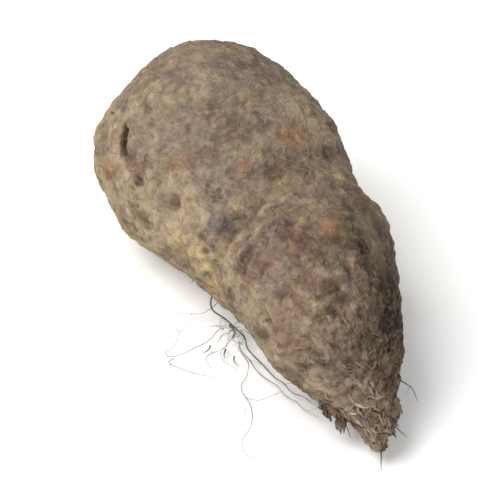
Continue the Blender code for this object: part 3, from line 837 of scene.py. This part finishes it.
    # It gets its thickness last, flatter where it is a shred, and nothing reaches under the floor.
    fibres = add_node(tree, "GeometryNodeSetCurveNormal", fibres, mode="FREE", Normal=normal)
    thick = add_node(tree, "ShaderNodeMapRange", arch, 0.0, 1.0, 0.12, 0.5)
    thick = add_node(tree, "ShaderNodeMath", thick, size["Thickness"], operation="MULTIPLY")
    ring = add_node(tree, "GeometryNodeCurvePrimitiveCircle", Resolution=3, Radius=1.0)
    flat = add_node(tree, "ShaderNodeCombineXYZ", size["Flatness"], 1.0, 1.0)
    ring = add_node(tree, "GeometryNodeTransform", ring, Scale=flat)
    threads = add_node(tree, "GeometryNodeCurveToMesh", fibres, ring, Scale=thick, Fill_Caps=True)
    off_floor = add_node(tree, "ShaderNodeMath", split["Z"], 0.0, operation="MAXIMUM")
    resting = add_node(tree, "ShaderNodeCombineXYZ", split["X"], split["Y"], off_floor)
    threads = add_node(tree, "GeometryNodeSetPosition", threads, Position=resting)
    return end_tree(tree, size, threads)


def fibre_material(name, darkest, lightest):
    """Dead plant fibre in the peel's colours: matt, and darker or lighter from thread to thread."""
    material, tree, shader = new_material(name)
    colour, _ = peel_colour(tree)
    tone = add_node(tree, "ShaderNodeAttribute", attribute_name="tone").outputs["Fac"]
    tone = add_node(tree, "ShaderNodeMapRange", tone, 0.0, 1.0, darkest, lightest)
    colour = lay_over(tree, colour, [(1.0, tone)], "MULTIPLY")
    fill_inputs(shader, {"Base Color": colour, "Roughness": 0.85, "Specular IOR Level": 0.25})
    return material


FELT = {
    "pale_fibres": {"Per square metre": 150e3, "Most": 420e3, "Shortest": 0.8 * MM, "Longest": 2.6 * MM,
                    "Thickness": 0.09 * MM, "Lift": 0.03 * MM, "Wander": 1.8 * MM, "Seed": 3, "Points": 9,
                    "Finish": fibre_material("clean dry fibre", 0.95, 1.13)},
    "dark_fibres": {"Per square metre": 110e3, "Most": 480e3, "Shortest": 0.8 * MM, "Longest": 2.4 * MM,
                    "Thickness": 0.09 * MM, "Lift": 0.02 * MM, "Wander": 1.6 * MM, "Seed": 8, "Points": 9,
                    "Finish": fibre_material("earthy fibre", 0.70, 0.95)},
    "hair_roots": {"Per square metre": 5e3, "Most": 24e3, "Shortest": 3.0 * MM, "Longest": 7.0 * MM,
                   "Thickness": 0.10 * MM, "Lift": 0.06 * MM, "Wander": 3.4 * MM, "Seed": 5, "Points": 22,
                   "Wander size": 2.4 * MM, "Finish": fibre_material("dry hair root", 0.75, 1.2)},
    "husk_shreds": {"Per square metre": 0.0, "Most": 800e3, "Shortest": 1.0 * MM, "Longest": 3.4 * MM,
                    "Thickness": 0.52 * MM, "Lift": 0.02 * MM, "Tip lift": 0.22 * MM, "Wander": 0.85 * MM,
                    "Wander size": 1.8 * MM, "Seed": 2, "Points": 10, "Spread": 0.30, "Flatness": 0.2,
                    "Finish": fibre_material("papery husk", 0.82, 1.12)},
}
MOST_FELT = {"More from x": 23 * MM, "Most at x": 32 * MM, "Tip lift": 0.0, "Wander size": 1.5 * MM,
             "Spread": 1.3, "Flatness": 1.0}
pressed_fibres = fibre_tree()
for name, sizes in FELT.items():
    fibres = add_object(name, bake_tree(tuber_skin, pressed_fibres, MOST_FELT | sizes))
    fibres.data.name = name
    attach(fibres, "root")
    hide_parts("tuber")

# The rootlets: thin side roots that came up with the tuber and dried where they lie, so they curl
# off the waist onto the table. They are wiry, grey-brown, and branch into finer hairs. Each is its
# thickness and its route, in millimetres.
ROOTLETS = {
    "runner": (0.20, (
        (0.8, -5.0, 4.6), (2.7, -7.8, 3.1), (4.8, -7.4, 2.3), (7.0, -6.5, 1.5), (9.0, -6.2, 1.2),
        (11.5, -6.5, 1.0), (13.4, -6.1, 0.9), (16.7, -5.5, 0.9), (19.6, -4.7, 1.0), (23.0, -3.4, 1.0),
    )),
    "loop": (0.09, (
        (6.8, -6.4, 1.5), (5.9, -7.8, 1.2), (6.5, -9.6, 0.9), (6.9, -11.3, 0.7), (7.6, -13.2, 0.6),
        (7.4, -14.6, 0.5), (6.4, -14.7, 0.5), (5.9, -14.0, 0.5), (4.8, -12.7, 0.5), (3.8, -11.6, 0.6),
        (3.6, -10.2, 0.8),
    )),
    "side": (0.09, ((2.4, -5.6, 3.2), (2.7, -8.0, 1.5), (1.6, -9.8, 0.8), (0.2, -10.9, 0.6))),
    "fork": (0.10, (
        (7.0, -6.5, 1.4), (7.9, -7.6, 1.0), (8.5, -8.8, 0.7), (9.9, -9.2, 0.6), (12.0, -8.9, 0.5),
    )),
    "spur": (0.08, ((8.4, -8.5, 0.7), (8.7, -9.8, 0.6), (9.3, -10.9, 0.5), (11.1, -11.6, 0.5))),
    "trail": (0.09, (
        (7.5, -14.3, 0.5), (8.2, -15.2, 0.5), (9.7, -14.0, 0.5), (11.2, -13.1, 0.5), (12.4, -12.0, 0.5),
        (14.3, -11.3, 0.5),
    )),
    "cross": (0.10, (
        (8.4, -6.2, 1.2), (9.6, -7.1, 0.8), (12.7, -7.8, 0.6), (13.9, -8.2, 0.5), (15.5, -9.6, 0.5),
        (16.7, -9.9, 0.5), (17.6, -8.8, 0.5), (18.3, -7.3, 0.7), (18.4, -5.9, 0.9),
    )),
    "drooping": (0.10, (
        (16.4, -9.8, 0.5), (17.9, -10.0, 0.5), (19.5, -10.6, 0.5), (21.2, -11.2, 0.5), (22.3, -12.3, 0.5),
        (23.6, -13.4, 0.5), (25.4, -13.5, 0.5), (26.9, -12.8, 0.5),
    )),
    "tip_fibre": (0.20, ((31.2, -0.7, 2.8), (32.9, -0.9, 1.6), (34.4, -1.7, 0.8))),
    "tip_left": (0.18, ((24.5, -0.8, 2.6), (26.2, -2.2, 1.4), (28.0, -2.4, 0.7))),
    "tip_right": (0.18, ((27.8, 0.8, 3.4), (29.0, 2.4, 1.8), (30.4, 3.2, 0.9))),
    "far_side": (0.18, ((9.0, 6.0, 3.6), (9.8, 9.4, 1.8), (11.6, 11.0, 0.9), (13.8, 11.4, 0.6))),
    "runner_twin": (0.13, (
        (8.6, -6.9, 1.0), (11.8, -7.3, 0.7), (14.6, -6.9, 0.7), (17.8, -6.0, 0.7), (20.8, -5.2, 0.7),
        (23.8, -4.2, 0.8),
    )),
    "knot": (0.34, ((6.3, -7.0, 1.8), (6.9, -6.8, 1.7), (7.5, -6.9, 1.4), (7.8, -7.3, 1.1))),
    "bit_near": (0.20, ((8.9, -8.6, 0.9), (9.4, -9.0, 0.8), (10.0, -9.1, 0.6))),
    "bit_far": (0.18, ((7.6, -9.9, 0.8), (8.1, -10.4, 0.7), (8.3, -11.0, 0.6))),
    "bit_low": (0.18, ((10.4, -8.2, 0.8), (11.0, -8.6, 0.7), (11.8, -8.5, 0.6))),
    "crown_stub": (0.30, ((-13.9, -10.8, 18.5), (-14.4, -11.8, 18.9), (-14.6, -12.4, 19.2))),
    "waist_stub": (0.20, ((-0.1, -10.6, 9.1), (0.1, -11.4, 8.7), (0.2, -11.8, 8.4))),
    "low_stub": (0.20, ((2.2, -8.8, 6.8), (2.4, -9.6, 6.3), (2.5, -9.9, 5.9))),
    "far_tip": (0.16, ((20.0, 3.6, 3.4), (21.2, 6.0, 1.6), (23.4, 7.4, 0.8), (25.4, 7.2, 0.6))),
}
ROOTLET_STEP = 0.35
ROOTLET_HELD = 2.0
ROOTLET_WANDER, ROOTLET_WANDER_SIZE = 0.55, 2.6
WANDER_SEEDS = ((1, 5, 9), (8, 2, 4), (3, 7, 6))
WANDER_UPWARDS = 0.4
THREAD_TAPER = 0.6
HAIRS_PER_MM = 0.16
HAIR_STEP = 0.3
HAIR_STEPS = (3, 9)
HAIR_THICKNESS = 0.05
HAIR_TURN, HAIR_SINK, HAIR_SINK_SPREAD = 0.28, -0.08, 0.10
HAIR_LEAN, HAIR_LIFT = 1.5, 0.3
TANGLE_PLACE = (7.0, -6.9, 1.3)
TANGLE_SPREAD = (0.8, 0.8, 0.4)
TANGLE_HAIRS = 24
TANGLE_THICKNESS = 0.08
TANGLE_LIFT = 0.1


def smooth_route(stations, step):
    """Points along a smooth curve through the stations, about a step apart."""
    length = np.linalg.norm(np.diff(np.array(stations), axis=0), axis=1).sum()
    return smooth_through(stations, max(int(length / step), 4))


def hair_path(draw, start, heading):
    """A fine hair that wanders from its start and sinks to the table."""
    path = [np.array(start)]
    heading = np.array(heading) / np.linalg.norm(heading)
    for _ in range(draw.randint(*HAIR_STEPS)):
        heading = heading + np.array([draw.gauss(0, HAIR_TURN), draw.gauss(0, HAIR_TURN),
                                      draw.gauss(HAIR_SINK, HAIR_SINK_SPREAD)])
        heading /= np.linalg.norm(heading)
        path.append(path[-1] + heading * HAIR_STEP)
    return np.array(path)


def thread_tree():
    """Turns lines that hold their own thickness into round threads."""
    tree, size = new_tree("round threads", {"Int": ("Sides",), "Material": ("Finish",)})
    curves = add_node(tree, "GeometryNodeMeshToCurve", size["Geometry"])
    thickness = add_node(tree, "GeometryNodeInputNamedAttribute", data_type="FLOAT", Name="thickness")
    radius = add_node(tree, "ShaderNodeMath", thickness, 0.5 * MM, operation="MULTIPLY")
    ring = add_node(tree, "GeometryNodeCurvePrimitiveCircle", Resolution=size["Sides"], Radius=1.0)
    threads = add_node(tree, "GeometryNodeCurveToMesh", curves, ring, Scale=radius, Fill_Caps=True)
    threads = add_node(tree, "GeometryNodeSetShadeSmooth", threads)
    return end_tree(tree, size, threads)


def rootlet_material():
    """Dried side root: a wiry grey-brown bark, darker on the thick ones, where earth still clings."""
    material, tree, shader = new_material("dried rootlet bark")
    place = add_node(tree, "ShaderNodeTexCoord").outputs["Object"]
    stain = add_node(tree, "ShaderNodeTexNoise", place, Scale=1 / (1.6 * MM), Detail=3.0)
    bark = add_node(tree, "ShaderNodeValToRGB", stain, stops=((0.38, "#7c7874"), (0.62, "#b7b3ae")))
    thickness = add_node(tree, "ShaderNodeAttribute", attribute_name="thickness").outputs["Fac"]
    darkening = add_node(tree, "ShaderNodeMapRange", thickness, 0.09, 0.19, 0.0, 0.8)
    colour = lay_over(tree, bark, [(darkening, "#4b4643")])
    fill_inputs(shader, {"Base Color": colour, "Roughness": 0.75, "Specular IOR Level": 0.3})
    return material


thread_points, thread_edges, thread_thickness = [], [], []


def lay_thread(points, thickness):
    """Adds one thread that thins to its end and lies on the floor, not in it."""
    first = len(thread_points)
    for index, point in enumerate(points):
        share = index / (len(points) - 1)
        wide = thickness * (1 - THREAD_TAPER * share**2)
        thread_points.append((point[0] * MM, point[1] * MM, max(point[2], wide / 2) * MM))
        thread_thickness.append(wide)
        if index:
            thread_edges.append((first + index - 1, first + index))


draw = random.Random(7)
for thickness, stations in ROOTLETS.values():
    route = smooth_route(stations, ROOTLET_STEP)
    free = smoothstep(0.0, ROOTLET_HELD, np.arange(len(route)) * ROOTLET_STEP)[:, None]
    wander = np.stack([noise_at(route, ROOTLET_WANDER_SIZE, seed) for seed in WANDER_SEEDS], axis=1)
    route = route + wander * free * ROOTLET_WANDER * np.array((1, 1, WANDER_UPWARDS))
    lay_thread(route, thickness)
    for _ in range(int(len(route) * ROOTLET_STEP * HAIRS_PER_MM)):
        at = draw.randrange(2, len(route) - 2)
        along = route[at + 1] - route[at - 1]
        aside = np.array((-along[1], along[0], HAIR_LIFT)) * draw.choice((-1, 1))
        lay_thread(hair_path(draw, route[at], aside + along * draw.uniform(0, HAIR_LEAN)), HAIR_THICKNESS)
for _ in range(TANGLE_HAIRS):
    start = np.array(TANGLE_PLACE) + np.array([draw.gauss(0, spread) for spread in TANGLE_SPREAD])
    lay_thread(hair_path(draw, start, [draw.gauss(0, 1), draw.gauss(0, 1), TANGLE_LIFT]), TANGLE_THICKNESS)

rootlet_lines = bpy.data.meshes.new("rootlets")
rootlet_lines.from_pydata(thread_points, thread_edges, [])
thickness_kept = rootlet_lines.attributes.new("thickness", "FLOAT", "POINT")
thickness_kept.data.foreach_set("value", thread_thickness)
rootlets = add_object("rootlets", rootlet_lines)
rootlets.data = bake_tree(rootlets, thread_tree(), {"Sides": 6, "Finish": rootlet_material()})
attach(rootlets, "root")
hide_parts("tuber")

# The scales round the root tip: the torn ends of the peel where the root broke off. They are flat and
# ragged, a little darker than the peel, and rooted in it. Each is its root, its tip and its width in
# millimetres.
TIP_SCALES = (
    ((25.4, -4.5, 5.6), (27.8, -4.9, 4.6), 1.6),
    ((25.8, -4.1, 4.8), (28.0, -4.4, 3.8), 1.9),
    ((27.0, -3.7, 5.4), (29.0, -3.8, 4.3), 1.8),
    ((28.0, -3.2, 6.0), (29.8, -3.4, 5.2), 1.3),
    ((26.6, -2.6, 3.2), (28.4, -3.5, 2.3), 1.4),
    ((29.2, 2.0, 5.4), (30.9, 2.4, 4.3), 1.5),
    ((30.0, 1.2, 5.2), (31.9, 1.6, 4.2), 1.4),
    ((30.6, 0.6, 4.4), (32.6, 0.9, 3.4), 1.2),
    ((31.4, -1.2, 4.4), (33.2, -1.3, 3.6), 1.0),
)
SCALE_ROWS, SCALE_COLUMNS = 12, 9
SCALE_THICKNESS, SCALE_CLEARANCE = 0.14, 0.15
SCALE_TILT = 0.3
SCALE_TORN_BY, SCALE_SPLIT_FROM = (-0.40, 0.15), (0.35, 1.3)
SCALE_TAPER, SCALE_RAGGED = 0.45, 0.25
SCALE_CUP, SCALE_CURL, SCALE_CURL_TURN, SCALE_CURL_BY_WIDTH = 0.35, 0.25, 3, 9


def tip_scale(bm, draw, root, tip, width):
    """A flat scale between two points, cupped, twisted and torn at its end."""
    root, tip = Vector(root), Vector(tip)
    along = tip - root
    across = along.cross(Vector((draw.gauss(0, SCALE_TILT), draw.gauss(0, SCALE_TILT), 1))).normalized()
    out = across.cross(along).normalized()
    torn = [draw.uniform(*SCALE_TORN_BY) for _ in range(SCALE_COLUMNS)]
    split_from = [draw.uniform(*SCALE_SPLIT_FROM) for _ in range(SCALE_COLUMNS - 1)]
    rows = []
    for row in range(SCALE_ROWS):
        t = row / (SCALE_ROWS - 1)
        half = width / 2 * (1 - SCALE_TAPER * t**2) * (1 + SCALE_RAGGED * draw.uniform(-1, 1))
        curl = SCALE_CURL * math.sin(SCALE_CURL_TURN * t + width * SCALE_CURL_BY_WIDTH)
        line = []
        for column in range(SCALE_COLUMNS):
            s = 2 * column / (SCALE_COLUMNS - 1) - 1
            place = root + along * (t * (1 + torn[column] * t)) + across * (s * half)
            place += out * (SCALE_CUP * width * (1 - s * s) * (1 - t) + curl)
            line.append(bm.verts.new(place * MM))
        rows.append(line)
    for row, (low, high) in enumerate(zip(rows, rows[1:])):
        for column in range(SCALE_COLUMNS - 1):
            if row / SCALE_ROWS < split_from[column]:
                bm.faces.new((low[column], low[column + 1], high[column + 1], high[column]))


scales_bm = bmesh.new()
draw = random.Random(12)
for root, tip, width in TIP_SCALES:
    tip_scale(scales_bm, draw, root, tip, width)
for vertex in scales_bm.verts:
    vertex.co.z = max(vertex.co.z, SCALE_CLEARANCE * MM)
scales_mesh = bpy.data.meshes.new("tip_scales")
scales_bm.to_mesh(scales_mesh)
scales_bm.free()
tip_scales = add_object("tip_scales", scales_mesh)
walls = tip_scales.modifiers.new("thickness", "SOLIDIFY")
walls.thickness = SCALE_THICKNESS * MM
walls.offset = 0
tip_scales.data.materials.append(fibre_material("torn dark peel", 0.82, 0.82))
tip_scales.data.shade_smooth()
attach(tip_scales, "root")
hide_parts("tuber")


# Crumbs of the field's earth, dried onto the peel. They lie in clumps all over it, and most thickly in
# its pits and creases, where nothing rubbed them off.
def crumb_tree():
    """Small rough lumps, dropped in clumps and mostly where the skin is hollow."""
    tree, size = new_tree("crumbs of earth", {
        "Float": ("Per square metre", "In hollows", "Smallest", "Largest"),
        "Int": ("Seed",),
        "Material": ("Finish",)})
    place = add_node(tree, "GeometryNodeInputPosition")
    hollow = add_node(tree, "GeometryNodeInputNamedAttribute", data_type="FLOAT", Name="hollow")
    crowd = add_node(tree, "ShaderNodeMath", hollow, size["In hollows"], size["Per square metre"],
                     operation="MULTIPLY_ADD")
    clumps = add_node(tree, "ShaderNodeTexNoise", place, Scale=1 / (5.0 * MM), Detail=3.0)
    clumps = add_node(tree, "ShaderNodeMapRange", clumps, 0.48, 0.66, 0.05, 2.5)
    height = add_node(tree, "ShaderNodeSeparateXYZ", place).outputs["Z"]
    off_floor = add_node(tree, "ShaderNodeMapRange", height, 0.3 * MM, 0.6 * MM, 0.0, 1.0)
    for share in (clumps, off_floor):
        crowd = add_node(tree, "ShaderNodeMath", crowd, share, operation="MULTIPLY")
    drops = add_node(tree, "GeometryNodeDistributePointsOnFaces", size["Geometry"], Density=crowd,
                     Seed=size["Seed"])
    small = add_node(tree, "FunctionNodeRandomValue", _2=0.0, _3=1.0, Seed=21)
    small = add_node(tree, "ShaderNodeMath", small, 2.5, operation="POWER")
    wide = add_node(tree, "ShaderNodeMapRange", small, 0.0, 1.0, size["Smallest"], size["Largest"])
    pressed = add_node(tree, "ShaderNodeVectorMath", (0.55, 0.4, 0.3), operation="SCALE", Scale=wide)
    spin = add_node(tree, "FunctionNodeRandomValue", _2=0.0, _3=6.28, Seed=22)
    spin = add_node(tree, "FunctionNodeAxisAngleToRotation", Axis=(0.0, 0.0, 1.0), Angle=spin)
    turned = add_node(tree, "FunctionNodeRotateRotation", drops.outputs["Rotation"], rotation_space="LOCAL",
                      Rotate_By=spin)
    lump = add_node(tree, "GeometryNodeMeshIcoSphere", Radius=1.0, Subdivisions=2)
    crumbs = add_node(tree, "GeometryNodeInstanceOnPoints", drops, Instance=lump, Rotation=turned,
                      Scale=pressed)
    crumbs = add_node(tree, "GeometryNodeRealizeInstances", crumbs)
    rough = add_node(tree, "ShaderNodeTexNoise", place, Scale=1 / (0.18 * MM), Detail=1.0).outputs["Color"]
    rough = add_node(tree, "ShaderNodeVectorMath", rough, (0.5, 0.5, 0.5), operation="SUBTRACT")
    rough = add_node(tree, "ShaderNodeVectorMath", rough, operation="SCALE", Scale=0.16 * MM)
    crumbs = add_node(tree, "GeometryNodeSetPosition", crumbs, Offset=rough)
    crumbs = add_node(tree, "GeometryNodeSetShadeSmooth", crumbs)
    return end_tree(tree, size, crumbs)


def earth_material():
    """Dry loam: matt and granular, from dark humus to pale silt."""
    material, tree, shader = new_material("dry loam")
    place = add_node(tree, "ShaderNodeTexCoord").outputs["Object"]
    grain = add_node(tree, "ShaderNodeTexNoise", place, Scale=1 / (0.9 * MM), Detail=4.0)
    loam = add_node(tree, "ShaderNodeValToRGB", grain,
                    stops=((0.36, "#5b4a3a"), (0.52, "#75634f"), (0.66, "#97846a")))
    fill_inputs(shader, {"Base Color": loam, "Roughness": 0.95, "Specular IOR Level": 0.15})
    return material


crumbs = add_object("earth_crumbs", bake_tree(tuber_skin, crumb_tree(), {
    "Per square metre": 80e3, "In hollows": 400e3, "Smallest": 0.10 * MM, "Largest": 0.36 * MM, "Seed": 4,
    "Finish": earth_material()}))
crumbs.data.name = "earth_crumbs"
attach(crumbs, "root")
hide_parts("tuber")
